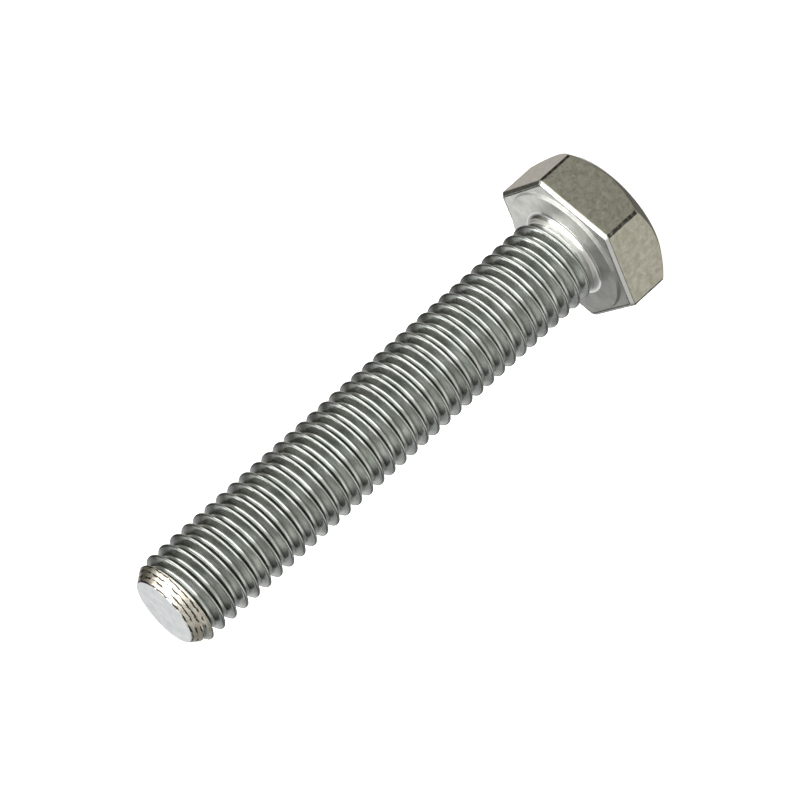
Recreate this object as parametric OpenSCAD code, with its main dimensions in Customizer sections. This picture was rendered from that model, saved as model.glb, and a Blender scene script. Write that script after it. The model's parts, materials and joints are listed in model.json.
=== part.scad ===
// Fully threaded hex bolt, forged from one bar, axis upright and head down.
// The origin is the centre of the bearing face under the head.

/* [Thread] */
// Diameter over the crests
crest_d = 7.92; // [7.76:0.02:7.98]
// Distance from one crest to the next along the axis
pitch = 1.25; // [1:0.05:1.5]
// Straight facets in each turn of the groove
facets_per_turn = 24; // [16:2:24]

/* [Length] */
// Bearing face to the flat end of the point
length = 45; // [16:1:50]
// Bearing face to the middle of the groove where it begins to fade in
groove_start_z = 1.1; // [1:0.1:3]

/* [Point] */
// Diameter of the flat end
point_d = 6; // [5:0.1:6.2]
// Axial height of the tapered point
point_h = 1.3; // [1:0.1:2]

/* [Head] */
// Width across opposite flats
across_flats = 12.8; // [12.7:0.05:13]
// Width across opposite corners, which are slightly blunted
across_corners = 14.62; // [14.4:0.02:14.64]
// Bearing face to the outer face of the head
head_h = 5.1; // [5:0.05:5.5]
// Slope of the chamfer round the outer face, in degrees
chamfer_angle = 40; // [30:1:42]
// Diameter of the flat inside the chamfer
chamfer_d = 11.9; // [11.4:0.1:12.2]
// Bevel along the lower edges of the flats
edge_bevel = 0.32; // [0.2:0.02:0.34]

/* [Bearing face] */
// Diameter of the raised round face under the head
bearing_d = 11.7; // [11.4:0.1:11.8]
// How far that face stands out from the hexagon
bearing_h = 0.3; // [0.2:0.05:0.4]
// Radius of the fillet between the bearing face and the neck
fillet_r = 0.75; // [0.5:0.05:0.8]
// Diameter of the neck between the fillet and the thread
neck_d = 7.2; // [7:0.05:7.4]

/* [Hidden] */

crest_r = crest_d / 2;
neck_r = neck_d / 2;
// Depth of the thread and the flats along its crest and its root, each as a share of the pitch
depth_share = 0.584;
crest_share = 0.125;
root_share = 0.24;
thread_depth = depth_share * pitch;
root_r = crest_r - thread_depth;
crest_w = crest_share * pitch;
root_w = root_share * pitch;
// How far the sides of the groove lean out for each millimetre of depth
side_lean = (pitch - crest_w - root_w) / 2 / thread_depth;
// The cutter stands this far outside the crests, and its faded end starts half as far out
cutter_clear = 0.1;
// Turns over which the groove deepens from nothing to full depth
fade_turns = 0.9;
// Turns that the groove runs on past the flat end, so that it leaves the point cleanly
overrun_turns = 0.75;
// Round surfaces not cut by the groove are drawn with this many facets
smooth = 96;
// Hidden overlap where two solids join
lap = 0.2;
zinc = [0.74, 0.75, 0.74];

// Six flats with a bevel along their lower edges: three crossed slabs
module hex_flats() {
  half = across_flats / 2;
  low = -bearing_h;
  intersection_for (turn = [0, 60, 120])
    rotate([90, 0, turn + 90])
      linear_extrude(height = 2 * across_flats, center = true)
        polygon([
          [-half, -head_h], [half, -head_h], [half, low - edge_bevel],
          [half - edge_bevel, low], [edge_bevel - half, low], [-half, low - edge_bevel]
        ]);
}

// Turned envelope that blunts the corners and chamfers the outer face
module corner_envelope() {
  corner_r = across_corners / 2;
  chamfer_h = (corner_r - chamfer_d / 2) * tan(chamfer_angle);
  rotate_extrude($fn = smooth)
    polygon([
      [0, -head_h], [chamfer_d / 2, -head_h], [corner_r, chamfer_h - head_h], [corner_r, 0], [0, 0]
    ]);
}

module head() {
  intersection() {
    hex_flats();
    corner_envelope();
  }
}

module bearing_face() {
  translate([0, 0, -bearing_h - lap]) cylinder(d = bearing_d, h = bearing_h + lap, $fn = smooth);
}

// Concave ring that blends the neck into the bearing face
module neck_fillet() {
  rotate_extrude($fn = smooth) difference() {
    translate([neck_r - lap, -lap]) square([fillet_r + lap, fillet_r + lap]);
    translate([neck_r + fillet_r, fillet_r]) circle(r = fillet_r, $fn = smooth);
  }
}

// Neck, lead up to the crests, full diameter and tapered point, turned as one profile
module shank_blank() {
  lead = crest_r - neck_r;
  rotate_extrude($fn = facets_per_turn)
    polygon([
      [0, -lap], [neck_r, -lap], [neck_r, fillet_r], [crest_r, fillet_r + lead],
      [crest_r, length - point_h], [point_d / 2, length], [0, length]
    ]);
}

// Right-hand helical groove, shallow at the neck and running out over the point
module thread_groove() {
  turns = (length - groove_start_z) / pitch + overrun_turns;
  steps = ceil(turns * facets_per_turn);
  outer_r = crest_r + cutter_clear;
  points = [for (i = [0 : steps])
    let (
      a = i * 360 / facets_per_turn,
      z = groove_start_z + i * pitch / facets_per_turn,
      fade = max(0, 1 - i / (fade_turns * facets_per_turn)),
      inner_r = root_r + fade * (thread_depth + cutter_clear / 2),
      inner_w = root_w / 2,
      outer_w = inner_w + side_lean * (outer_r - inner_r)
    )
    for (c = [[inner_r, -inner_w], [outer_r, -outer_w], [outer_r, outer_w], [inner_r, inner_w]])
      [c[0] * cos(a), c[0] * sin(a), z + c[1]]];
  sides = [for (i = [0 : steps - 1], k = [0 : 3])
    let (p = 4 * i, q = p + 4, n = (k + 1) % 4)
    for (t = [[p + k, p + n, q + n], [p + k, q + n, q + k]]) t];
  last = 4 * steps;
  polyhedron(points, concat(sides, [[3, 2, 1, 0], [last, last + 1, last + 2, last + 3]]));
}

module hex_bolt() {
  color(zinc) {
    difference() {
      union() {
        head();
        bearing_face();
        neck_fillet();
        shank_blank();
      }
      thread_groove();
    }
  }
}

hex_bolt();
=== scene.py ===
"""Hex bolt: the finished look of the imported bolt, laid out as an add-on and run as a script."""
import json
import math

import bmesh
import bpy
from bpy.props import FloatProperty, FloatVectorProperty, IntProperty, PointerProperty
from mathutils import Matrix, Vector, noise


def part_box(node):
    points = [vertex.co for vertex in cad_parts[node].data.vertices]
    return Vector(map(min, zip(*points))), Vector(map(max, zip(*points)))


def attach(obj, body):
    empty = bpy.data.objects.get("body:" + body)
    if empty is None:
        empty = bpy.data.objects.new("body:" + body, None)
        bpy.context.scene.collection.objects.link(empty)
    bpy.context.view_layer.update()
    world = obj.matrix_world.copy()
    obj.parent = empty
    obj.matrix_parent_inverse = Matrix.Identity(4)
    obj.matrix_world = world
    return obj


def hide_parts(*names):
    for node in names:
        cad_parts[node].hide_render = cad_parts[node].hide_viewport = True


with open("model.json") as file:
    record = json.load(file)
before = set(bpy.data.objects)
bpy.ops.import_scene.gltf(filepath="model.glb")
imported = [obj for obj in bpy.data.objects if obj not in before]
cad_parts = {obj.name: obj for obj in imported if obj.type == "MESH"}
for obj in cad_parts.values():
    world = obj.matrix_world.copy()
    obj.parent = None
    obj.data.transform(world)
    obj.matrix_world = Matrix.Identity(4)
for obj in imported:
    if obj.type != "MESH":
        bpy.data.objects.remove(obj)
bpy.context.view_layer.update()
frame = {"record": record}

bl_info = {
    "name": "Hex Bolt",
    "version": (1, 0, 0),
    "blender": (4, 5, 0),
    "location": "3D View > Sidebar > Bolt",
    "description": "Makes a fully threaded, zinc-plated hex bolt and its studio",
    "category": "Add Mesh",
}

MM = 0.001
NODE = "hex_bolt"
LOWEST, HIGHEST = (Vector(corner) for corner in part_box(NODE))
MOUNTS = {mount["name"]: mount for mount in frame["record"]["mounts"]}
CREST_RADIUS = MOUNTS["thread"]["dims"]["r_mm"] * MM

# Thread form, as shares of the pitch: depth, flat along the crest, flat along the root.
DEPTH_SHARE = 0.58
CREST_SHARE = 0.125
ROOT_SHARE = 0.24
# How far the rounding of the crests and of the roots reaches into the flanks.
CREST_ROUND = 0.12 * MM
ROOT_ROUND = 0.24 * MM
# The thread grows out of the neck over this height.
LEAD_IN = 0.45 * MM
# The mesh's rows start this many turns below the groove, to cover the neck's end all round.
EXTRA_TURNS = 2
# The groove gets shallower over the point: the distances from the flat end where its depth is
# least and where it is full, and the share of the depth that is left.
FADE_END, FADE_START = 0.1 * MM, 1.7 * MM
FADE_LEAST = 0.3
# The rolled surface is uneven by this much, in patches of this size.
UNEVENNESS = 0.03 * MM
UNEVEN_PATCH = 0.8 * MM
# Within the first of these distances from the flat end it is this many times as uneven, and
# beyond the second it is as even as elsewhere.
WORN_TIMES = 5.0
WORN_END, WORN_START = 0.6 * MM, 2.4 * MM
# Rounding where the taper cuts the crests.
TAPER_ROUND = 0.06 * MM
# The turned finish reaches this far below the taper's surface, and the grooves are deeper.
TURNED_DEPTH = 0.12 * MM
# The thread's mesh stops this far short of the flat end, and the end cap takes over.
END_TRIM = 0.1 * MM
# Worn rounding of the flat end's rim.
RIM_ROUND = 0.05 * MM

# Radius on the bearing face where the head's mesh meets the neck's, and the ring inside it.
MEETING_RADIUS = 4.75 * MM
NECK_RING_RADIUS = MEETING_RADIUS - 0.15 * MM
# Trim groove just inside the bevel of the flats.
TRIM_WIDTH = 0.13 * MM
TRIM_DEPTH = 0.07 * MM
# The edge between the bevel and the flats wavers by up to about this much round the head.
BEVEL_WAVER = 0.018 * MM
# The first column on a flat lies this far round from its corner's cut strip.
CORNER_BLEND = math.radians(0.35)
# Steps of a rounding, and how many times its size the points held beside it stand off.
ROUND_STEPS = 4
HOLD = 1.7

# Side of the bolt where painted light makes the bearing face paler, as an angle round the axis.
PAINTED_LIGHT_SIDE = math.radians(341)
# Real feed marks on a turned point are nearer 0.1 mm apart. These are drawn coarser, to show.
TOOL_MARK_SPACING = 0.33 * MM
# Points closer than this are one point where the thread, neck, head and end meet.
WELD = 0.002 * MM
# Sockets of a colour Mix node: its two colours, and its result.
COLOUR_A, COLOUR_B, MIXED = 6, 7, 2

# Metres from the aim to each softbox, and from the bolt to the floor's edge.
SOFTBOX_DISTANCE = 0.5
FLOOR_RADIUS = 4.0

# The finishes in the order of the bolt's material slots.
THREAD, POINT, END_FACE, NECK, BEARING, GROOVE, FLATS, OUTER = range(8)


def linear(hex_colour):
    """An sRGB hex colour as linear red, green and blue."""
    channels = [int(hex_colour[i:i + 2], 16) / 255 for i in (1, 3, 5)]
    return tuple(c / 12.92 if c <= 0.04045 else ((c + 0.055) / 1.055) ** 2.4 for c in channels)


def length_property(name, description, default):
    """A length in metres with the sidebar's unit."""
    return FloatProperty(
        name=name, description=description, default=default, min=0.0, precision=5, unit="LENGTH")


def colour_property(name, description, hex_colour):
    """A linear colour with the sidebar's colour picker."""
    return FloatVectorProperty(
        name=name, description=description, default=linear(hex_colour), min=0.0, max=1.0,
        size=3, subtype="COLOR")


class BoltSizes(bpy.types.PropertyGroup):
    """Sizes of the bolt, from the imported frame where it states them."""
    length: length_property("Length", "Bearing face to the flat end", HIGHEST.z)
    head_height: length_property("Head Height", "Bearing face to the outer face", -LOWEST.z)
    across_flats: length_property("Across Flats", "Spanner size of the head", 2 * HIGHEST.y)
    across_corners: length_property("Across Corners", "Widest size of the head", 2 * HIGHEST.x)
    chamfer_radius: length_property("Chamfer Radius", "Flat inside the head's chamfer", 5.95 * MM)
    chamfer_angle: FloatProperty(
        name="Chamfer Angle", description="Slope of the chamfer round the outer face",
        default=math.radians(40), min=0.1, max=1.2, subtype="ANGLE", unit="ROTATION")
    edge_bevel: length_property("Edge Bevel", "Bevel between flats and bearing side", 0.27 * MM)
    bearing_radius: length_property("Bearing Radius", "Raised round face under the head", 5.85 * MM)
    bearing_height: length_property("Bearing Height", "How far that face stands out", 0.3 * MM)
    fillet: length_property("Fillet", "Hollow round from bearing face to neck", 0.45 * MM)
    neck_radius: length_property("Neck Radius", "Plain neck before the thread", 3.6 * MM)
    neck_end: length_property("Neck End", "Height where the thread begins", 0.8 * MM)
    crest_radius: length_property("Crest Radius", "Radius over the thread's crests", CREST_RADIUS)
    pitch: length_property("Pitch", "Crest to crest along the axis", 1.25 * MM)
    groove_start: length_property("Groove Start", "Height of the groove at angle zero", 1.1 * MM)
    point_radius: length_property("Point Radius", "Radius of the flat end", 3.0 * MM)
    point_height: length_property("Point Height", "Height of the tapered point", 1.3 * MM)
    columns: IntProperty(
        name="Columns", description="Faces round the thread", default=96, min=24, max=144)
    rows: IntProperty(
        name="Rows per Turn", description="Faces across each thread", default=20, min=8, max=32)


class BoltColours(bpy.types.PropertyGroup):
    """Tints of the zinc plate on the bolt's different surfaces."""
    thread_light: colour_property("Thread, Light", "Plate on the crests", "#e2e6e1")
    thread_dark: colour_property("Thread, Dark", "Duller streaks", "#b2b7b1")
    flats_light: colour_property("Flats, Light", "Cleaner plate on the six flats", "#bdbcae")
    flats_dark: colour_property("Flats, Dark", "Duller patches on the six flats", "#a4a190")
    bearing_light: colour_property("Bearing, Light", "Satin plate under the head", "#e6e6e1")
    bearing_dark: colour_property("Bearing, Dark", "Duller patches under the head", "#c9cac5")
    point_light: colour_property("Point, Light", "Bright plate on the taper", "#f0ecdf")
    point_dark: colour_property("Point, Dark", "Scuffed plate on the taper", "#cdc6b4")
    end_light: colour_property("End, Light", "Pale frosted flat end", "#ebebea")
    end_dark: colour_property("End, Dark", "Mottling of the flat end", "#d5d9dc")


class StudioSizes(bpy.types.PropertyGroup):
    """The camera's place round the bolt, and how bright the softboxes are."""
    azimuth: FloatProperty(
        name="Azimuth", description="Direction of the camera round the axis",
        default=math.radians(-108.74), subtype="ANGLE", unit="ROTATION")
    elevation: FloatProperty(
        name="Elevation", description="Height of the camera above the aim, as an angle",
        default=math.radians(20.81), subtype="ANGLE", unit="ROTATION")
    roll: FloatProperty(
        name="Roll", description="Turn of the camera about its own view",
        default=math.radians(132.0), subtype="ANGLE", unit="ROTATION")
    distance: length_property("Distance", "Camera to the point aimed at", 315.6 * MM)
    aim_height: length_property("Aim Height", "Point of the axis in mid-picture", 18.98 * MM)
    lens: FloatProperty(
        name="Lens", description="Focal length", default=180.0, min=20.0, unit="CAMERA")
    softbox: FloatProperty(
        name="Softbox", description="Brightness of both softboxes against white paper",
        default=1.65, min=0.0)


def direction(azimuth, elevation):
    """Unit vector from an azimuth and an elevation."""
    flat = math.cos(elevation)
    return Vector((flat * math.cos(azimuth), flat * math.sin(azimuth), math.sin(elevation)))


def add_node(tree, kind, inputs=None, **settings):
    """Adds a node, sets its properties, and fills its inputs with values or links."""
    node = tree.nodes.new(kind)
    for name, value in settings.items():
        setattr(node, name, value)
    for key, value in (inputs or {}).items():
        if isinstance(value, bpy.types.Node):
            value = value.outputs[0]
        if isinstance(value, bpy.types.NodeSocket):
            tree.links.new(value, node.inputs[key])
        else:
            node.inputs[key].default_value = value
    return node


def set_stops(ramp, stops):
    """Gives a colour ramp its stops: a position and a linear colour each."""
    while len(ramp.elements) > 1:
        ramp.elements.remove(ramp.elements[0])
    for index, (position, colour) in enumerate(stops):
        stop = ramp.elements[0] if index == 0 else ramp.elements.new(position)
        stop.position = position
        stop.color = (*colour, 1.0)


# ---------------------------------------------------------------- finishes

def zinc_plate(name, light, dark, patch, rough, grain, relief, stretch=(1.0, 1.0, 1.0)):
    """Electroplated zinc: patches of tint, an uneven gloss and a fine grain.

    patch and grain are the sizes of a patch and of a grain, relief is the grain's height, rough
    is the least and the most roughness, and stretch thins the pattern along an axis where the
    surface was rolled or turned. Real zinc crystals are a few thousandths of a millimetre, too
    fine to show, so the grain is drawn at 0.2 to 0.35 mm.
    """
    material = bpy.data.materials.new(name)
    material.use_nodes = True
    tree = material.node_tree
    shader = tree.nodes["Principled BSDF"]
    shader.inputs["Metallic"].default_value = 1.0
    place = add_node(tree, "ShaderNodeTexCoord")
    laid = add_node(
        tree, "ShaderNodeMapping", {"Vector": place.outputs["Object"], "Scale": stretch})
    patches = add_node(
        tree, "ShaderNodeTexNoise",
        {"Vector": laid, "Scale": 1.0 / patch, "Detail": 5.0, "Roughness": 0.62})
    cover = add_node(
        tree, "ShaderNodeMapRange", {"Value": patches, "From Min": 0.36, "From Max": 0.66})
    tint = add_node(
        tree, "ShaderNodeMix",
        {"Factor": cover, COLOUR_A: (*dark, 1.0), COLOUR_B: (*light, 1.0)}, data_type="RGBA")
    grains = add_node(
        tree, "ShaderNodeTexNoise",
        {"Vector": laid, "Scale": 1.0 / grain, "Detail": 3.0, "Roughness": 0.55})
    gloss = add_node(
        tree, "ShaderNodeMapRange",
        {"Value": grains, "From Min": 0.3, "From Max": 0.7, "To Min": rough[0], "To Max": rough[1]})
    bump = add_node(
        tree, "ShaderNodeBump", {"Height": grains, "Strength": 1.0, "Distance": relief})
    tree.links.new(tint.outputs[MIXED], shader.inputs["Base Color"])
    tree.links.new(gloss.outputs[0], shader.inputs["Roughness"])
    tree.links.new(bump.outputs[0], shader.inputs["Normal"])
    return material


def tone_down(material, share, stops):
    """Multiplies a finish's tint by a ramp of greys over the share: stops of share and grey."""
    tree = material.node_tree
    tint = tree.nodes["Principled BSDF"].inputs["Base Color"]
    ramp = add_node(tree, "ShaderNodeValToRGB", {0: share})
    set_stops(ramp.color_ramp, [(position, (grey,) * 3) for position, grey in stops])
    toned = add_node(
        tree, "ShaderNodeMix",
        {"Factor": 1.0, COLOUR_A: tint.links[0].from_socket, COLOUR_B: ramp},
        data_type="RGBA", blend_type="MULTIPLY")
    tree.links.new(toned.outputs[MIXED], tint)


def place_and_shift(tree, jitter, grain):
    """Nodes for the place on the bolt by axis, and for a noise of up to the jitter each way."""
    place = add_node(tree, "ShaderNodeTexCoord").outputs["Object"]
    ripple = add_node(tree, "ShaderNodeTexNoise", {"Vector": place, "Scale": 1.0 / grain})
    shift = add_node(
        tree, "ShaderNodeMapRange",
        {"Value": ripple.outputs[0], "From Min": 0.3, "From Max": 0.7,
         "To Min": -jitter, "To Max": jitter})
    return add_node(tree, "ShaderNodeSeparateXYZ", {0: place}), shift


def rolled_thread_finish(sizes, colours):
    """Rolled steel under zinc plate: glossy and streaked, with painted shade lines that follow the
    helix.
    """
    material = zinc_plate(
        "Zinc plate on rolled thread", colours.thread_light, colours.thread_dark,
        patch=2.2 * MM, rough=(0.14, 0.26), grain=0.35 * MM, relief=0.005 * MM,
        stretch=(1.0, 1.0, 6.0))
    tree = material.node_tree
    axis, shift = place_and_shift(tree, jitter=0.02 * MM, grain=0.5 * MM)
    height = add_node(tree, "ShaderNodeMath", {0: axis.outputs["Z"], 1: shift}, operation="ADD")
    # Share of a pitch up from the middle of the root: 0 and 1 are roots, 0.5 is the crest.
    turn = add_node(
        tree, "ShaderNodeMath", {0: axis.outputs["Y"], 1: axis.outputs["X"]}, operation="ARCTAN2")
    threads = add_node(
        tree, "ShaderNodeMath",
        {0: height, 1: 1.0 / sizes.pitch, 2: -sizes.groove_start / sizes.pitch},
        operation="MULTIPLY_ADD")
    wound = add_node(
        tree, "ShaderNodeMath", {0: turn, 1: -1.0 / math.tau, 2: threads}, operation="MULTIPLY_ADD")
    phase = add_node(tree, "ShaderNodeMath", {0: wound}, operation="FRACT")
    # Painted shade: thin dark lines at the foot of each flank and along each side of the crest.
    tone_down(material, phase, [
        (0.00, 1.0), (0.08, 1.0), (0.11, 0.4), (0.16, 0.92), (0.37, 0.9), (0.41, 0.3),
        (0.445, 0.3), (0.46, 0.9), (0.55, 0.9), (0.575, 0.25), (0.61, 0.95), (0.76, 0.95),
        (0.865, 0.5), (0.89, 1.0), (1.00, 1.0),
    ])
    # Seen edge-on, the side of the thread that faces the head stays dark. Bare zinc wouldn't:
    # this stands for the shade between neighbouring threads.
    white, black = (1.0,) * 3, (0.0,) * 3
    edge = add_node(tree, "ShaderNodeValToRGB", {0: phase})
    set_stops(edge.color_ramp, [
        (0.0, white), (0.09, white), (0.12, black), (0.42, black), (0.45, white), (1.0, white)])
    tree.links.new(
        edge.outputs[0], tree.nodes["Principled BSDF"].inputs["Specular Tint"])
    return material


def tapered_point_finish(colours):
    """Turned taper under zinc plate: the brightest surface, warm, with dark, ragged tool marks."""
    material = zinc_plate(
        "Zinc plate on turned point", colours.point_light, colours.point_dark,
        patch=0.7 * MM, rough=(0.16, 0.32), grain=0.25 * MM, relief=0.006 * MM,
        stretch=(1.0, 1.0, 3.0))
    tree = material.node_tree
    axis, shift = place_and_shift(tree, jitter=0.035 * MM, grain=0.45 * MM)
    height = add_node(tree, "ShaderNodeMath", {0: axis.outputs["Z"], 1: shift}, operation="ADD")
    marks = add_node(
        tree, "ShaderNodeMath", {0: height, 1: 1.0 / TOOL_MARK_SPACING}, operation="MULTIPLY")
    across = add_node(tree, "ShaderNodeMath", {0: marks}, operation="FRACT")
    # The marks come and go round the point, over stretches of about this length.
    stretch_length = 0.7 * MM
    place = add_node(tree, "ShaderNodeTexCoord").outputs["Object"]
    strength = add_node(
        tree, "ShaderNodeTexNoise",
        {"Vector": place, "Scale": 1.0 / stretch_length, "Detail": 3.0})
    missing = add_node(
        tree, "ShaderNodeMapRange",
        {"Value": strength.outputs[0], "From Min": 0.48, "From Max": 0.66, "To Max": 0.45})
    share = add_node(tree, "ShaderNodeMath", {0: across, 1: missing}, operation="ADD")
    tone_down(material, share, [(0.0, 0.07), (0.28, 0.07), (0.42, 1.0), (1.0, 1.0)])
    return material


def end_face_finish(colours):
    """Sheared end under zinc plate: frosted and very pale, almost without reflections."""
    return zinc_plate(
        "Zinc plate on sheared end", colours.end_light, colours.end_dark,
        patch=0.9 * MM, rough=(0.42, 0.55), grain=0.3 * MM, relief=0.005 * MM)


def neck_finish(colours):
    """Forged hollow under zinc plate: smooth, so it shows the softbox as a crisp white ring."""
    return zinc_plate(
        "Zinc plate on neck and fillet", colours.end_light, colours.bearing_light,
        patch=1.6 * MM, rough=(0.16, 0.24), grain=0.3 * MM, relief=0.003 * MM)


def bearing_finish(sizes, colours):
    """Forged underside with zinc plate: satin, with painted light that makes it paler towards one
    side.
    """
    material = zinc_plate(
        "Zinc plate on forged bearing face", colours.bearing_light, colours.bearing_dark,
        patch=1.6 * MM, rough=(0.44, 0.56), grain=0.3 * MM, relief=0.003 * MM)
    tree = material.node_tree
    place = add_node(tree, "ShaderNodeTexCoord").outputs["Object"]
    towards = add_node(
        tree, "ShaderNodeVectorMath",
        {0: place, 1: direction(PAINTED_LIGHT_SIDE, 0.0) / sizes.across_flats}, operation="DOT_PRODUCT")
    share = add_node(
        tree, "ShaderNodeMath", {0: towards.outputs["Value"], 1: 0.5}, operation="ADD")
    # Painted light: the face's tint grows paler towards the lit side given above.
    tone_down(material, share, [(0.0, 0.5), (0.35, 0.6), (0.85, 1.0), (1.0, 1.0)])
    return material


def groove_finish(colours):
    """Trim groove under the head in zinc plate: dull, with painted shade that makes it dark, so it
    reads as a line.
    """
    # Painted shade: the bearing's dull tint darkened further for the groove.
    light, dark = ([share * c for c in colours.bearing_dark] for share in (0.55, 0.25))
    return zinc_plate(
        "Zinc plate in trim groove", light, dark,
        patch=0.5 * MM, rough=(0.4, 0.6), grain=0.2 * MM, relief=0.003 * MM)


def flats_finish(sizes, colours):
    """Trimmed flats with zinc plate: finely mottled olive and grey, with painted shade lines along
    their edges.
    """
    material = zinc_plate(
        "Zinc plate on trimmed flats", colours.flats_light, colours.flats_dark,
        patch=0.5 * MM, rough=(0.26, 0.4), grain=0.22 * MM, relief=0.0025 * MM)
    tree = material.node_tree
    axis, shift = place_and_shift(tree, jitter=0.012 * MM, grain=0.4 * MM)
    height = add_node(tree, "ShaderNodeMath", {0: axis.outputs["Z"], 1: shift}, operation="ADD")
    flattened = add_node(
        tree, "ShaderNodeCombineXYZ", {0: axis.outputs["X"], 1: axis.outputs["Y"]})
    plain_radius = add_node(tree, "ShaderNodeVectorMath", {0: flattened}, operation="LENGTH")
    radius = add_node(
        tree, "ShaderNodeMath", {0: plain_radius.outputs["Value"], 1: shift}, operation="ADD")
    # Distances in from the corner, the chamfer and the bevel, where the painted shade lines lie.
    # The first and last are eased, so that their lines come out as thin as the chamfer's.
    corner_ease, bevel_ease = 0.006 * MM, 0.018 * MM
    from_corner = add_node(
        tree, "ShaderNodeMath", {0: sizes.across_corners / 2 + corner_ease, 1: radius},
        operation="SUBTRACT")
    slope = math.tan(sizes.chamfer_angle)
    chamfer = add_node(
        tree, "ShaderNodeMath",
        {0: radius, 1: slope, 2: -sizes.chamfer_radius * slope - sizes.head_height},
        operation="MULTIPLY_ADD")
    from_chamfer = add_node(
        tree, "ShaderNodeMath", {0: height, 1: chamfer}, operation="SUBTRACT")
    above_bevel = add_node(
        tree, "ShaderNodeMath", {0: height, 1: sizes.bearing_height + sizes.edge_bevel},
        operation="ADD")
    off_bevel = add_node(tree, "ShaderNodeMath", {0: above_bevel}, operation="ABSOLUTE")
    from_bevel = add_node(
        tree, "ShaderNodeMath", {0: off_bevel, 1: bevel_ease}, operation="ADD")
    upright = add_node(
        tree, "ShaderNodeMath", {0: from_corner, 1: from_chamfer}, operation="MINIMUM")
    nearest = add_node(
        tree, "ShaderNodeMath", {0: upright, 1: from_bevel}, operation="MINIMUM")
    ramp_width = 0.2 * MM
    share = add_node(
        tree, "ShaderNodeMath", {0: nearest, 1: 1.0 / ramp_width}, operation="MULTIPLY")
    # Painted shade: dark lines along the corners, the chamfer and the bevel.
    tone_down(material, share, [(0.0, 0.14), (0.03, 0.14), (0.17, 1.0), (1.0, 1.0)])
    return material


def outer_finish(colours):
    """Forged outer face with zinc plate, tumbled in the barrel: evenly scuffed and softer."""
    return zinc_plate(
        "Zinc plate on tumbled outer face", colours.flats_light, colours.flats_dark,
        patch=1.3 * MM, rough=(0.28, 0.46), grain=0.28 * MM, relief=0.008 * MM)


# ---------------------------------------------------------------- thread

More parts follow.
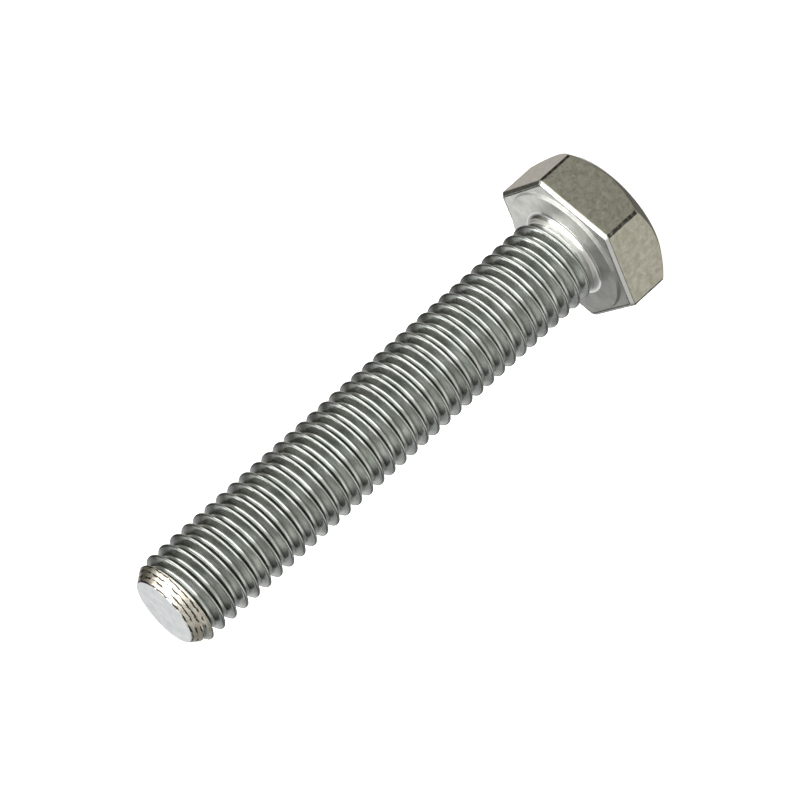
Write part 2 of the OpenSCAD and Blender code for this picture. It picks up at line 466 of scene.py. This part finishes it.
def thread_tree():
    """Geometry Nodes tree that wraps a grid into the threaded shank, neck to tapered point."""
    tree = bpy.data.node_groups.new("Rolled thread", "GeometryNodeTree")
    tree.interface.new_socket(name="Geometry", in_out="OUTPUT", socket_type="NodeSocketGeometry")
    for name in ("Length", "Crest Radius", "Root Radius", "Neck Radius", "Neck End", "Pitch",
                 "Groove Start", "Point Radius", "Point Height", "End Trim", "Unevenness"):
        tree.interface.new_socket(name=name, in_out="INPUT", socket_type="NodeSocketFloat")
    for name in ("Columns", "Rows per Turn", "Turns"):
        tree.interface.new_socket(name=name, in_out="INPUT", socket_type="NodeSocketInt")
    tree.interface.new_socket(name="Finish", in_out="INPUT", socket_type="NodeSocketMaterial")
    size = add_node(tree, "NodeGroupInput").outputs

    # A flat grid, one unit square: across it is one turn, and along it are all the turns.
    rows = add_node(
        tree, "ShaderNodeMath", {0: size["Turns"], 1: size["Rows per Turn"]}, operation="MULTIPLY")
    row_points = add_node(tree, "ShaderNodeMath", {0: rows, 1: 1.0}, operation="ADD")
    column_points = add_node(tree, "ShaderNodeMath", {0: size["Columns"], 1: 1.0}, operation="ADD")
    grid = add_node(
        tree, "GeometryNodeMeshGrid",
        {"Size X": 1.0, "Size Y": 1.0, "Vertices X": column_points, "Vertices Y": row_points})
    position = add_node(tree, "GeometryNodeInputPosition")
    point = add_node(tree, "ShaderNodeSeparateXYZ", {0: position})
    turn = add_node(tree, "ShaderNodeMath", {0: point.outputs["X"], 1: 0.5}, operation="ADD")
    along = add_node(tree, "ShaderNodeMath", {0: point.outputs["Y"], 1: 0.5}, operation="ADD")
    threads = add_node(tree, "ShaderNodeMath", {0: along, 1: size["Turns"]}, operation="MULTIPLY")
    angle = add_node(tree, "ShaderNodeMath", {0: turn, 1: math.tau}, operation="MULTIPLY")

    # The rows climb with the helix, from below the groove's own start.
    climbed = add_node(tree, "ShaderNodeMath", {0: threads, 1: turn}, operation="ADD")
    lifted = add_node(tree, "ShaderNodeMath", {0: climbed, 1: EXTRA_TURNS}, operation="SUBTRACT")
    free_z = add_node(
        tree, "ShaderNodeMath", {0: lifted, 1: size["Pitch"], 2: size["Groove Start"]},
        operation="MULTIPLY_ADD")
    top = add_node(
        tree, "ShaderNodeMath", {0: size["Length"], 1: size["End Trim"]}, operation="SUBTRACT")
    above = add_node(tree, "ShaderNodeMath", {0: free_z, 1: size["Neck End"]}, operation="MAXIMUM")
    z = add_node(tree, "ShaderNodeMath", {0: above, 1: top}, operation="MINIMUM")

    # Straight flanks, from the distance to the middle of the crest.
    phase = add_node(tree, "ShaderNodeMath", {0: threads}, operation="FRACT")
    signed = add_node(tree, "ShaderNodeMath", {0: phase, 1: 0.5}, operation="SUBTRACT")
    apart = add_node(tree, "ShaderNodeMath", {0: signed}, operation="ABSOLUTE")
    depth = add_node(
        tree, "ShaderNodeMath", {0: size["Crest Radius"], 1: size["Root Radius"]},
        operation="SUBTRACT")
    lean = add_node(
        tree, "ShaderNodeMath", {0: depth, 1: -2.0 / (1.0 - CREST_SHARE - ROOT_SHARE)},
        operation="MULTIPLY")
    past_flat = add_node(
        tree, "ShaderNodeMath", {0: apart, 1: CREST_SHARE / 2}, operation="SUBTRACT")
    flank = add_node(
        tree, "ShaderNodeMath", {0: past_flat, 1: lean, 2: size["Crest Radius"]},
        operation="MULTIPLY_ADD")

    # Rolling leaves the crest's edges a little round, and the root rounder.
    crest = add_node(
        tree, "ShaderNodeMath", {0: flank, 1: size["Crest Radius"], 2: CREST_ROUND},
        operation="SMOOTH_MIN")
    thread = add_node(
        tree, "ShaderNodeMath", {0: crest, 1: size["Root Radius"], 2: ROOT_ROUND},
        operation="SMOOTH_MAX")

    # The thread runs out over the point.
    run_out = add_node(tree, "ShaderNodeMath", {0: size["Length"], 1: z}, operation="SUBTRACT")
    kept = add_node(
        tree, "ShaderNodeMapRange",
        {"Value": run_out, "From Min": FADE_END, "From Max": FADE_START,
         "To Min": FADE_LEAST, "To Max": 1.0},
        interpolation_type="SMOOTHSTEP")
    hollow = add_node(
        tree, "ShaderNodeMath", {0: thread, 1: size["Crest Radius"]}, operation="SUBTRACT")
    fading = add_node(
        tree, "ShaderNodeMath", {0: hollow, 1: kept, 2: size["Crest Radius"]},
        operation="MULTIPLY_ADD")

    # Slight unevenness along the thread, stronger where it runs out over the point.
    cosine = add_node(tree, "ShaderNodeMath", {0: angle}, operation="COSINE")
    sine = add_node(tree, "ShaderNodeMath", {0: angle}, operation="SINE")
    round_point = add_node(tree, "ShaderNodeCombineXYZ", {0: cosine, 1: sine})
    spread = add_node(
        tree, "ShaderNodeVectorMath", {0: round_point, "Scale": size["Crest Radius"]},
        operation="SCALE")
    raised = add_node(tree, "ShaderNodeCombineXYZ", {2: z})
    where = add_node(tree, "ShaderNodeVectorMath", {0: spread, 1: raised}, operation="ADD")
    ripple = add_node(
        tree, "ShaderNodeTexNoise",
        {"Vector": where, "Scale": 1.0 / UNEVEN_PATCH, "Detail": 3.0})
    ripple_centred = add_node(
        tree, "ShaderNodeMath", {0: ripple.outputs[0], 1: 0.5}, operation="SUBTRACT")
    wear = add_node(
        tree, "ShaderNodeMapRange",
        {"Value": run_out, "From Min": WORN_END, "From Max": WORN_START,
         "To Min": WORN_TIMES, "To Max": 1.0},
        interpolation_type="SMOOTHSTEP")
    strength = add_node(
        tree, "ShaderNodeMath", {0: wear, 1: size["Unevenness"]}, operation="MULTIPLY")
    uneven = add_node(
        tree, "ShaderNodeMath", {0: ripple_centred, 1: strength, 2: fading},
        operation="MULTIPLY_ADD")

    # The thread grows out of the neck, and the taper cuts it off at the point.
    lead_end = add_node(
        tree, "ShaderNodeMath", {0: size["Neck End"], 1: LEAD_IN}, operation="ADD")
    grown = add_node(
        tree, "ShaderNodeMapRange",
        {"Value": z, "From Min": size["Neck End"], "From Max": lead_end},
        interpolation_type="SMOOTHSTEP")
    beyond_neck = add_node(
        tree, "ShaderNodeMath", {0: uneven, 1: size["Neck Radius"]}, operation="SUBTRACT")
    body = add_node(
        tree, "ShaderNodeMath", {0: beyond_neck, 1: grown, 2: size["Neck Radius"]},
        operation="MULTIPLY_ADD")
    taper_width = add_node(
        tree, "ShaderNodeMath", {0: size["Crest Radius"], 1: size["Point Radius"]},
        operation="SUBTRACT")
    taper_slope = add_node(
        tree, "ShaderNodeMath", {0: taper_width, 1: size["Point Height"]}, operation="DIVIDE")
    taper = add_node(
        tree, "ShaderNodeMath", {0: run_out, 1: taper_slope, 2: size["Point Radius"]},
        operation="MULTIPLY_ADD")
    radius = add_node(
        tree, "ShaderNodeMath", {0: body, 1: taper, 2: TAPER_ROUND}, operation="SMOOTH_MIN")

    outward = add_node(
        tree, "ShaderNodeVectorMath", {0: round_point, "Scale": radius}, operation="SCALE")
    wrapped = add_node(tree, "ShaderNodeVectorMath", {0: outward, 1: raised}, operation="ADD")
    shaped = add_node(tree, "GeometryNodeSetPosition", {"Geometry": grid, "Position": wrapped})
    welded = add_node(
        tree, "GeometryNodeMergeByDistance", {"Geometry": shaped, "Distance": WELD})
    smooth = add_node(tree, "GeometryNodeSetShadeSmooth", {0: welded})
    real = add_node(tree, "GeometryNodeRealizeInstances", {0: smooth})
    finished = add_node(
        tree, "GeometryNodeSetMaterial", {"Geometry": real, "Material": size["Finish"]})
    add_node(tree, "NodeGroupOutput", {0: finished})
    return tree


def threaded_shank(sizes, finish):
    """The shank's plain mesh, evaluated from its Geometry Nodes tree."""
    holder = bpy.data.objects.new("shank_holder", bpy.data.meshes.new("shank_holder"))
    bpy.context.scene.collection.objects.link(holder)
    modifier = holder.modifiers.new("Rolled thread", "NODES")
    tree = thread_tree()
    values = {
        "Length": sizes.length, "Crest Radius": sizes.crest_radius,
        "Root Radius": sizes.crest_radius - DEPTH_SHARE * sizes.pitch,
        "Neck Radius": sizes.neck_radius, "Neck End": sizes.neck_end, "Pitch": sizes.pitch,
        "Groove Start": sizes.groove_start, "Point Radius": sizes.point_radius,
        "Point Height": sizes.point_height, "End Trim": END_TRIM, "Unevenness": UNEVENNESS,
        "Columns": sizes.columns, "Rows per Turn": sizes.rows,
        "Turns": math.ceil((sizes.length - sizes.groove_start) / sizes.pitch) + EXTRA_TURNS,
        "Finish": finish,
    }
    modifier.node_group = tree
    for item in tree.interface.items_tree:
        if item.in_out == "INPUT":
            modifier[item.identifier] = values[item.name]
    evaluated = holder.evaluated_get(bpy.context.evaluated_depsgraph_get())
    mesh = bpy.data.meshes.new_from_object(evaluated)
    bpy.data.objects.remove(holder)
    return mesh


# ---------------------------------------------------------------- head, neck and end

def head_angles(sizes):
    """Column angles round the head, close together at the six cut corners."""
    corner_steps, flat_steps = 3, 8
    corner = corner_half_angle(sizes)
    half = [corner * step / corner_steps for step in range(corner_steps + 1)]
    start = corner + CORNER_BLEND
    half += [start + (math.pi / 6 - start) * step / flat_steps for step in range(flat_steps + 1)]
    sector = half + [math.pi / 3 - angle for angle in reversed(half[1:-1])]
    return [turn * math.pi / 3 + angle for turn in range(6) for angle in sector]


def corner_half_angle(sizes):
    """Half the angle that a corner's cut strip takes, as seen from the axis."""
    return math.pi / 6 - math.acos(sizes.across_flats / sizes.across_corners)


def hexagon_radius(sizes, angle):
    """Distance from the axis to the hexagon. Its corners, at 0, 60 degrees and so on, are cut
    to the size across corners.
    """
    from_corner = abs((angle + math.pi / 6) % (math.pi / 3) - math.pi / 6)
    sharp = sizes.across_flats / 2 / math.cos(math.pi / 6 - from_corner)
    return min(sharp, sizes.across_corners / 2)


def rounded(before, corner, after, size):
    """Points that round a profile's corner, with one more held close on each side of it."""
    back = (before - corner).normalized() * size
    on = (after - corner).normalized() * size
    arc = []
    for step in range(ROUND_STEPS + 1):
        t = step / ROUND_STEPS
        arc.append(corner + back * (1 - t) ** 2 + on * t ** 2)
    return [corner + back * HOLD] + arc + [corner + on * HOLD]


def head_section(sizes, angle):
    """Profile of the head at one angle, outer face to bearing face: (radius, height, finish)."""
    reach = hexagon_radius(sizes, angle)
    waver = noise.noise(Vector((3 * math.cos(angle), 3 * math.sin(angle), 0.0)) * 4) * BEVEL_WAVER
    low = -sizes.bearing_height
    chamfer_z = (reach - sizes.chamfer_radius) * math.tan(sizes.chamfer_angle) - sizes.head_height
    bevelled = reach * (1 - sizes.edge_bevel / (sizes.across_flats / 2))
    # Each corner's radius, height and rounding, and the finish up to it and round it.
    corners = [
        (0.3 * sizes.chamfer_radius, -sizes.head_height, 0, OUTER),
        (sizes.chamfer_radius, -sizes.head_height, 0.16 * MM, OUTER),
        (reach, chamfer_z, 0.07 * MM, OUTER),
        (reach, low - sizes.edge_bevel + waver, 0.045 * MM, FLATS),
        (bevelled, low, 0.02 * MM, NECK),
        (bevelled - TRIM_DEPTH, low - TRIM_DEPTH, 0.02 * MM, GROOVE),
        (bevelled - TRIM_WIDTH, low, 0.02 * MM, GROOVE),
        (sizes.bearing_radius + 0.05 * MM, low, 0.03 * MM, BEARING),
        (sizes.bearing_radius - 0.02 * MM, 0.0, 0.06 * MM, BEARING),
        (MEETING_RADIUS, 0.0, 0, BEARING),
    ]
    points = [Vector(corner[:2]) for corner in corners]
    section = [(points[0], OUTER)]
    for index in range(1, len(corners) - 1):
        rounding, finish = corners[index][2:]
        arc = rounded(*points[index - 1:index + 2], rounding)
        section += [(point, finish) for point in arc]
    section.append((points[-1], BEARING))
    return section


def add_ring(mesh, angles, radii, heights):
    """Adds one ring of points."""
    return [
        mesh.verts.new((radius * math.cos(angle), radius * math.sin(angle), height))
        for angle, radius, height in zip(angles, radii, heights)
    ]


def add_band(mesh, first, second, finish):
    """Joins two rings of the same number of points."""
    count = len(first)
    for i in range(count):
        j = (i + 1) % count
        face = mesh.faces.new((first[i], first[j], second[j], second[i]))
        face.material_index = finish


def add_fan(mesh, ring, height, finish):
    """Closes a ring with a point on the axis."""
    pole = mesh.verts.new((0.0, 0.0, height))
    for i, vert in enumerate(ring):
        face = mesh.faces.new((vert, ring[(i + 1) % len(ring)], pole))
        face.material_index = finish


def add_zip(mesh, outer, outer_angles, inner, inner_angles, finish):
    """Joins two rings of different numbers of points, in the order of their angles."""
    outer_turn = list(outer_angles) + [outer_angles[0] + math.tau]
    inner_turn = list(inner_angles) + [inner_angles[0] + math.tau]
    i = j = 0
    while i < len(outer) or j < len(inner):
        a, b = outer[i % len(outer)], inner[j % len(inner)]
        step_outer = j == len(inner) or (i < len(outer) and outer_turn[i + 1] <= inner_turn[j + 1])
        if step_outer:
            i += 1
            corners = (a, outer[i % len(outer)], b)
        else:
            j += 1
            corners = (a, inner[j % len(inner)], b)
        mesh.faces.new(corners).material_index = finish


def add_head(mesh, sizes):
    """Adds the head, and returns its last ring with that ring's angles."""
    angles = head_angles(sizes)
    sections = [head_section(sizes, angle) for angle in angles]
    rings = []
    for level in range(len(sections[0])):
        points = [section[level][0] for section in sections]
        rings.append(add_ring(mesh, angles, [p.x for p in points], [p.y for p in points]))
    add_fan(mesh, rings[0], -sizes.head_height, OUTER)
    for level in range(1, len(rings)):
        add_band(mesh, rings[level - 1], rings[level], sections[0][level][1])
    return rings[-1], angles


def add_neck(mesh, sizes, head_ring, angles_of_head):
    """Adds the fillet and the plain neck, up to the thread's first ring."""
    angles = [math.tau * i / sizes.columns for i in range(sizes.columns)]
    centre = sizes.neck_radius + sizes.fillet
    arc_steps = 14
    held = 0.06 * MM
    profile = [(NECK_RING_RADIUS, 0.0), (centre + held, 0.0)]
    for step in range(arc_steps + 1):
        a = math.pi / 2 * step / arc_steps
        profile.append(
            (centre - sizes.fillet * math.sin(a), sizes.fillet - sizes.fillet * math.cos(a)))
    profile.append((sizes.neck_radius, sizes.neck_end))
    count = sizes.columns
    rings = [add_ring(mesh, angles, [r] * count, [z] * count) for r, z in profile]
    add_zip(mesh, head_ring, angles_of_head, rings[0], angles, BEARING)
    for level in range(1, len(rings)):
        add_band(mesh, rings[level - 1], rings[level], BEARING if level == 1 else NECK)


def add_end(mesh, sizes):
    """Adds the last of the taper, its worn rim and the flat end."""
    angles = [math.tau * i / sizes.columns for i in range(sizes.columns)]
    slope = (sizes.crest_radius - sizes.point_radius) / sizes.point_height
    start = Vector((sizes.point_radius + END_TRIM * slope, sizes.length - END_TRIM))
    rim = Vector((sizes.point_radius, sizes.length))
    inside = Vector((0.5 * sizes.point_radius, sizes.length))
    profile = [start] + rounded(start, rim, inside, RIM_ROUND) + [inside]
    rim_level = len(profile) // 2
    count = sizes.columns
    rings = [add_ring(mesh, angles, [p.x] * count, [p.y] * count) for p in profile]
    for level in range(1, len(rings)):
        finish = POINT if level <= rim_level else END_FACE
        add_band(mesh, rings[level - 1], rings[level], finish)
    add_fan(mesh, rings[-1], sizes.length, END_FACE)


def mark_taper(mesh, sizes):
    """Gives the turned finish to the thread's faces that lie on the taper."""
    slope = (sizes.crest_radius - sizes.point_radius) / sizes.point_height
    taper_start = sizes.length - sizes.point_height
    for face in mesh.faces:
        middle = face.calc_center_median()
        if face.material_index != THREAD or middle.z < taper_start:
            continue
        taper = sizes.point_radius + (sizes.length - middle.z) * slope
        if math.hypot(middle.x, middle.y) > taper - TURNED_DEPTH:
            face.material_index = POINT


def check_closed(mesh):
    """Stops the script unless every edge joins exactly two faces."""
    open_edges = sum(1 for edge in mesh.edges if len(edge.link_faces) != 2)
    if open_edges:
        raise RuntimeError(f"the bolt's mesh has {open_edges} open edges")


class BOLT_OT_make_bolt(bpy.types.Operator):
    """Make the bolt: one closed mesh of head, neck, rolled thread and tapered point"""
    bl_idname = "bolt.make_bolt"
    bl_label = "Make Bolt"

    def execute(self, context):
        sizes = context.scene.bolt_sizes
        colours = context.scene.bolt_colours
        thread_finish = rolled_thread_finish(sizes, colours)
        shank = threaded_shank(sizes, thread_finish)
        mesh = bmesh.new()
        mesh.from_mesh(shank)
        bpy.data.meshes.remove(shank)
        for face in mesh.faces:
            face.material_index = THREAD
        mark_taper(mesh, sizes)
        head_ring, angles = add_head(mesh, sizes)
        add_neck(mesh, sizes, head_ring, angles)
        add_end(mesh, sizes)
        bmesh.ops.remove_doubles(mesh, verts=mesh.verts, dist=WELD)
        bmesh.ops.recalc_face_normals(mesh, faces=mesh.faces)
        check_closed(mesh)
        for face in mesh.faces:
            face.smooth = True
        data = bpy.data.meshes.new("zinc_plated_bolt")
        mesh.to_mesh(data)
        mesh.free()
        for finish in (
                thread_finish, tapered_point_finish(colours), end_face_finish(colours),
                neck_finish(colours), bearing_finish(sizes, colours), groove_finish(colours),
                flats_finish(sizes, colours), outer_finish(colours)):
            data.materials.append(finish)
        bolt = bpy.data.objects.new("zinc_plated_bolt", data)
        context.scene.collection.objects.link(bolt)
        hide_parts(NODE)
        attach(bolt, "root")
        return {"FINISHED"}


# ---------------------------------------------------------------- stage

def make_floor(sizes):
    """Plain white floor under the head. The metal doesn't mirror it, and it shades nothing."""
    mesh = bmesh.new()
    bmesh.ops.create_circle(mesh, cap_ends=True, segments=64, radius=FLOOR_RADIUS)
    bmesh.ops.translate(mesh, verts=mesh.verts, vec=(0.0, 0.0, -sizes.head_height))
    data = bpy.data.meshes.new("studio_floor")
    mesh.to_mesh(data)
    mesh.free()
    material = bpy.data.materials.new("Matt white studio paper")
    material.use_nodes = True
    shader = material.node_tree.nodes["Principled BSDF"]
    shader.inputs["Base Color"].default_value = (*linear("#f4f4f4"), 1.0)
    shader.inputs["Roughness"].default_value = 0.9
    shader.inputs["Emission Color"].default_value = (1.0, 1.0, 1.0, 1.0)
    shader.inputs["Emission Strength"].default_value = 0.85
    data.materials.append(material)
    floor = bpy.data.objects.new("studio_floor", data)
    floor.visible_glossy = False
    floor.visible_shadow = False
    bpy.context.scene.collection.objects.link(floor)


def add_softbox(name, azimuth, elevation, size, radiance, aim):
    """One rectangular softbox that faces the aim, in a direction given in degrees."""
    lamp = bpy.data.lights.new(name, "AREA")
    lamp.shape = "RECTANGLE"
    lamp.size, lamp.size_y = size
    lamp.energy = radiance * math.pi * size[0] * size[1]
    away = direction(math.radians(azimuth), math.radians(elevation))
    softbox = bpy.data.objects.new(name, lamp)
    softbox.location = aim + away * SOFTBOX_DISTANCE
    softbox.rotation_euler = away.to_track_quat("Z", "Y").to_euler()
    bpy.context.scene.collection.objects.link(softbox)


def make_surroundings():
    """Studio walls in near-neutral greys: pale and dim by turns all round, dark underneath, and
    mid grey overhead.
    """
    world = bpy.data.worlds.new("Studio walls")
    world.use_nodes = True
    bpy.context.scene.world = world
    tree = world.node_tree
    background = tree.nodes["Background"]
    view = add_node(tree, "ShaderNodeTexCoord")
    axis = add_node(tree, "ShaderNodeSeparateXYZ", {0: view.outputs["Generated"]})
    angle = add_node(
        tree, "ShaderNodeMath", {0: axis.outputs["Y"], 1: axis.outputs["X"]}, operation="ARCTAN2")
    turned = add_node(
        tree, "ShaderNodeMath", {0: angle, 1: 1.0 / math.tau, 2: 1.0}, operation="MULTIPLY_ADD")
    share = add_node(tree, "ShaderNodeMath", {0: turned}, operation="FRACT")
    # Greys by direction below the horizon, as shares of a turn round the axis.
    low = add_node(tree, "ShaderNodeValToRGB", {0: share})
    set_stops(low.color_ramp, [
        (0.00, (0.22, 0.21, 0.19)), (0.06, (0.30, 0.28, 0.26)), (0.10, (0.76, 0.72, 0.72)),
        (0.17, (0.80, 0.76, 0.76)), (0.23, (0.35, 0.34, 0.33)), (0.36, (0.20, 0.20, 0.19)),
        (0.43, (0.80, 0.78, 0.76)), (0.47, (1.0, 0.97, 0.96)), (0.58, (0.62, 0.62, 0.59)),
        (0.69, (0.7, 0.7, 0.69)), (0.76, (0.4, 0.41, 0.39)), (0.80, (0.25, 0.26, 0.24)),
        (0.90, (0.34, 0.33, 0.30)), (1.00, (0.22, 0.21, 0.19)),
    ])
    # The sine of the angle below or above the horizon decides which of the greys is seen.
    downward = add_node(
        tree, "ShaderNodeMapRange",
        {"Value": axis.outputs["Z"], "From Min": -0.9, "From Max": -0.65},
        interpolation_type="SMOOTHSTEP")
    ground = add_node(
        tree, "ShaderNodeMix",
        {"Factor": downward, COLOUR_A: (0.1, 0.1, 0.1, 1.0), COLOUR_B: low}, data_type="RGBA")
    # The same above the horizon.
    side = add_node(tree, "ShaderNodeValToRGB", {0: share})
    set_stops(side.color_ramp, [
        (0.00, (0.25, 0.24, 0.22)), (0.08, (0.06, 0.06, 0.05)), (0.12, (0.06, 0.06, 0.05)),
        (0.155, (0.40, 0.39, 0.40)), (0.20, (0.92, 0.92, 0.91)), (0.27, (0.34, 0.34, 0.34)),
        (0.36, (0.24, 0.24, 0.23)), (0.45, (0.42, 0.41, 0.39)), (0.60, (0.55, 0.55, 0.53)),
        (0.90, (0.50, 0.50, 0.50)), (1.00, (0.25, 0.24, 0.22)),
    ])
    upward = add_node(
        tree, "ShaderNodeMapRange",
        {"Value": axis.outputs["Z"], "From Min": -0.15, "From Max": 0.05},
        interpolation_type="SMOOTHSTEP")
    overhead = add_node(
        tree, "ShaderNodeMapRange",
        {"Value": axis.outputs["Z"], "From Min": 0.45, "From Max": 0.75},
        interpolation_type="SMOOTHSTEP")
    walls = add_node(
        tree, "ShaderNodeMix",
        {"Factor": upward, COLOUR_A: ground.outputs[MIXED], COLOUR_B: side}, data_type="RGBA")
    ceiling = add_node(
        tree, "ShaderNodeMix",
        {"Factor": overhead, COLOUR_A: walls.outputs[MIXED], COLOUR_B: (0.62, 0.62, 0.62, 1.0)},
        data_type="RGBA")
    tree.links.new(ceiling.outputs[MIXED], background.inputs["Color"])


def make_camera(studio):
    """Camera at its azimuth, elevation and roll, looking at a point of the bolt's axis."""
    data = bpy.data.cameras.new("studio_camera")
    data.lens = studio.lens
    data.sensor_width = 36.0
    data.clip_start = 0.01
    away = direction(studio.azimuth, studio.elevation)
    forward = -away
    level_right = forward.cross(Vector((0.0, 0.0, 1.0))).normalized()
    level_up = level_right.cross(forward)
    up = level_up * math.cos(studio.roll) + level_right * math.sin(studio.roll)
    right = forward.cross(up)
    camera = bpy.data.objects.new("studio_camera", data)
    turn = Matrix((right, up, away)).transposed().to_4x4()
    place = Vector((0.0, 0.0, studio.aim_height)) + away * studio.distance
    camera.matrix_world = Matrix.Translation(place) @ turn
    bpy.context.scene.collection.objects.link(camera)
    bpy.context.scene.camera = camera


class BOLT_OT_make_stage(bpy.types.Operator):
    """Make the stage: a plain floor, grey walls, two softboxes and the camera"""
    bl_idname = "bolt.make_stage"
    bl_label = "Make Stage"

    def execute(self, context):
        sizes = context.scene.bolt_sizes
        studio = context.scene.bolt_studio
        # Plain display of colours, so that the white paper and highlights come out white.
        context.scene.view_settings.view_transform = "Standard"
        make_floor(sizes)
        make_surroundings()
        middle = Vector((0.0, 0.0, sizes.length / 2))
        add_softbox("overhead_softbox", 340, 76, (0.5, 0.5), studio.softbox, middle)
        add_softbox("front_softbox", 285, 25, (1.4, 0.75), studio.softbox, middle)
        make_camera(studio)
        return {"FINISHED"}


class BOLT_PT_sidebar(bpy.types.Panel):
    """Sidebar panel with the bolt's sizes, colours and operators"""
    bl_label = "Hex Bolt"
    bl_idname = "BOLT_PT_sidebar"
    bl_space_type = "VIEW_3D"
    bl_region_type = "UI"
    bl_category = "Bolt"

    def draw(self, context):
        scene = context.scene
        for group in (scene.bolt_sizes, scene.bolt_colours, scene.bolt_studio):
            column = self.layout.column()
            for name in group.__annotations__:
                column.prop(group, name)
        self.layout.operator(BOLT_OT_make_bolt.bl_idname)
        self.layout.operator(BOLT_OT_make_stage.bl_idname)


CLASSES = (
    BoltSizes, BoltColours, StudioSizes, BOLT_OT_make_bolt, BOLT_OT_make_stage, BOLT_PT_sidebar)


def register():
    """Registers the classes and gives the scene its groups of settings."""
    for item in CLASSES:
        bpy.utils.register_class(item)
    bpy.types.Scene.bolt_sizes = PointerProperty(type=BoltSizes)
    bpy.types.Scene.bolt_colours = PointerProperty(type=BoltColours)
    bpy.types.Scene.bolt_studio = PointerProperty(type=StudioSizes)


def unregister():
    """Takes the settings and the classes away again."""
    del bpy.types.Scene.bolt_studio
    del bpy.types.Scene.bolt_colours
    del bpy.types.Scene.bolt_sizes
    for item in reversed(CLASSES):
        bpy.utils.unregister_class(item)


def main():
    register()
    bpy.ops.bolt.make_bolt()
    bpy.ops.bolt.make_stage()


if __name__ == "__main__":
    main()
